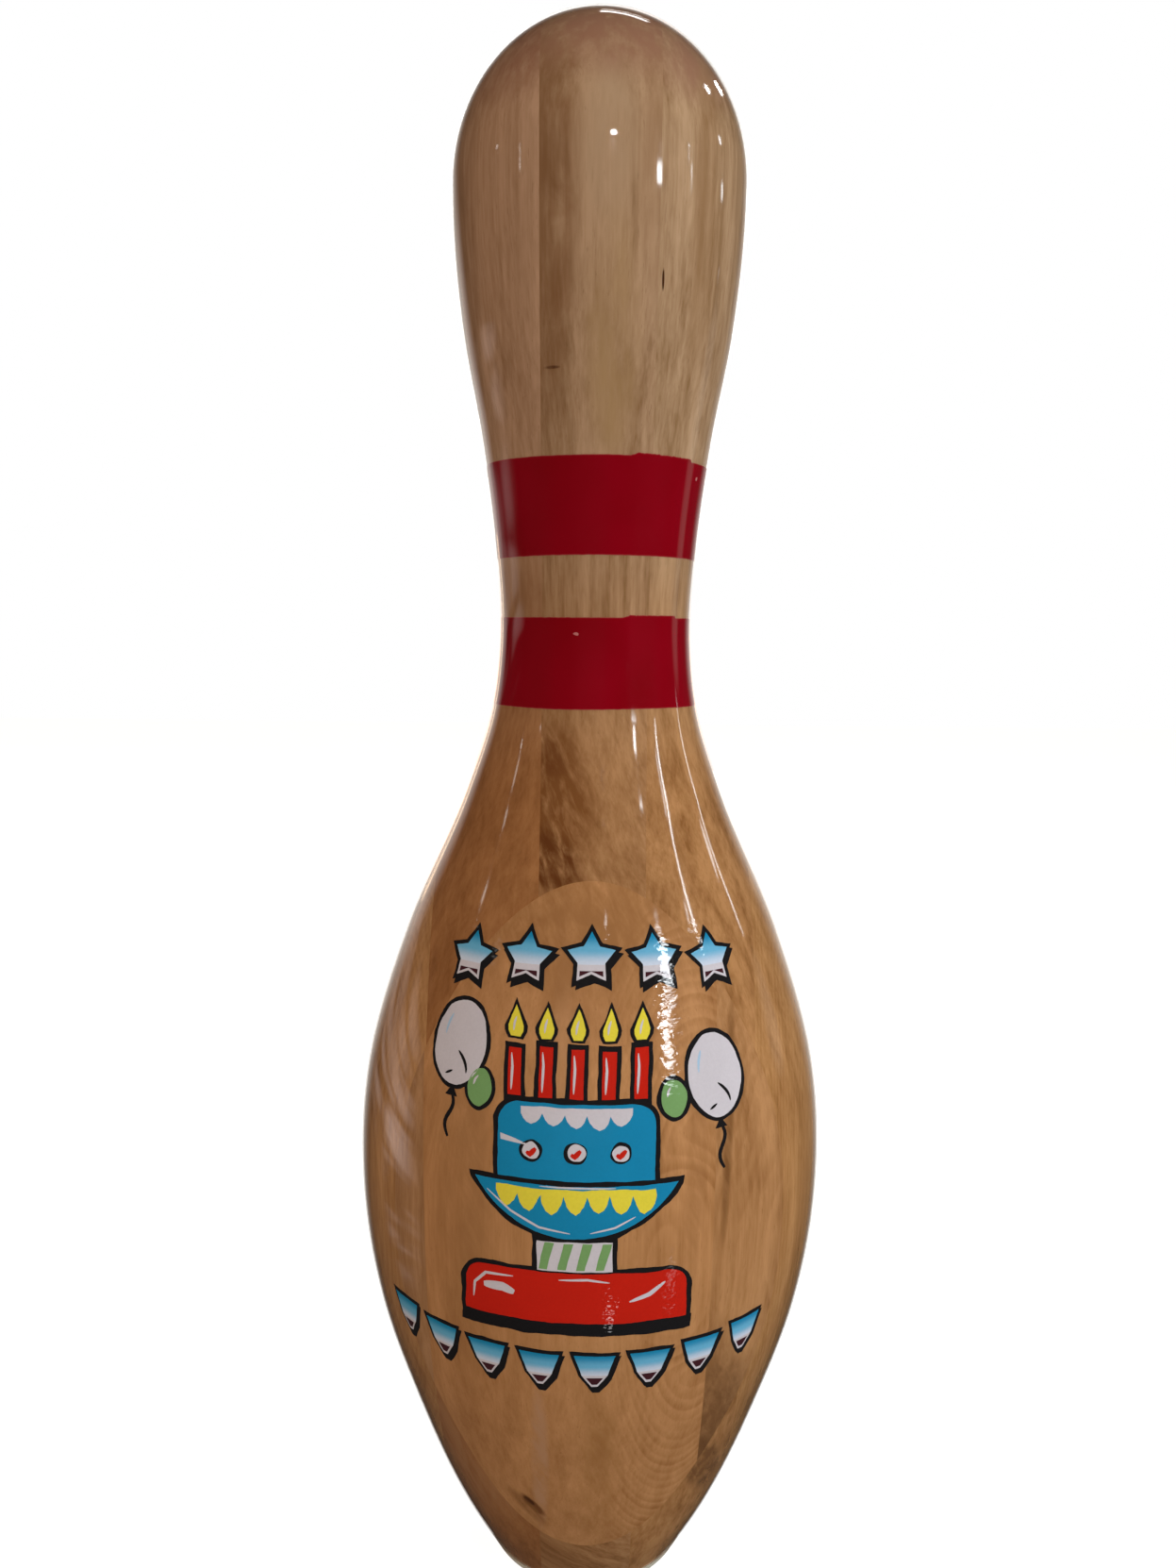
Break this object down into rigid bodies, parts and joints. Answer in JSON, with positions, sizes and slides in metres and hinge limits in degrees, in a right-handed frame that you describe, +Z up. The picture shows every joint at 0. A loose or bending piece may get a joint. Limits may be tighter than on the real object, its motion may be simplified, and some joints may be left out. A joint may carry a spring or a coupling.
{
  "type": "bowling pin",
  "caption": "Laminated wooden tenpin bowling pin: round head, waisted neck with two red bands, full belly printed with a cake, balloons, stars and flags, flat foot, clear gloss coat.",
  "frame": {"origin": "centre of the foot, on the floor", "axes": "+Z up the axis of the pin, -Y towards the side with the printed picture"},
  "size_m": [0.1212, 0.1212, 0.381],
  "materials": {
    "maple_light": "straight-grained, under clear gloss",
    "maple_tan": "straight-grained, under clear gloss",
    "maple_orange": "flat-sawn figure, under clear gloss",
    "maple_dark": "curly figure, under clear gloss",
    "nylon": "satin",
    "clear": "clear high gloss",
    "crimson_tape": "smooth, under clear gloss",
    "black_ink": "printed ink",
    "white_ink": "printed ink",
    "blue_ink": "printed ink",
    "yellow_ink": "printed ink",
    "red_ink": "printed ink",
    "green_ink": "printed ink"
  },
  "bodies": {
    "root": {"core_centre_board": "maple_light", "core_left_board": "maple_tan", "core_right_board": "maple_tan", "left_side_slab": "maple_orange", "right_side_slab": "maple_orange", "front_slab_centre": "maple_orange", "front_slab_left": "maple_tan", "front_slab_right": "maple_dark", "back_slab": "maple_orange", "base_ring": "nylon", "clear_coat": "clear", "upper_neck_stripe": "crimson_tape", "lower_neck_stripe": "crimson_tape", "print_black": "black_ink", "print_white": "white_ink", "print_blue": "blue_ink", "print_yellow": "yellow_ink", "print_red": "red_ink", "print_green": "green_ink"}
  },
  "joints": []
}
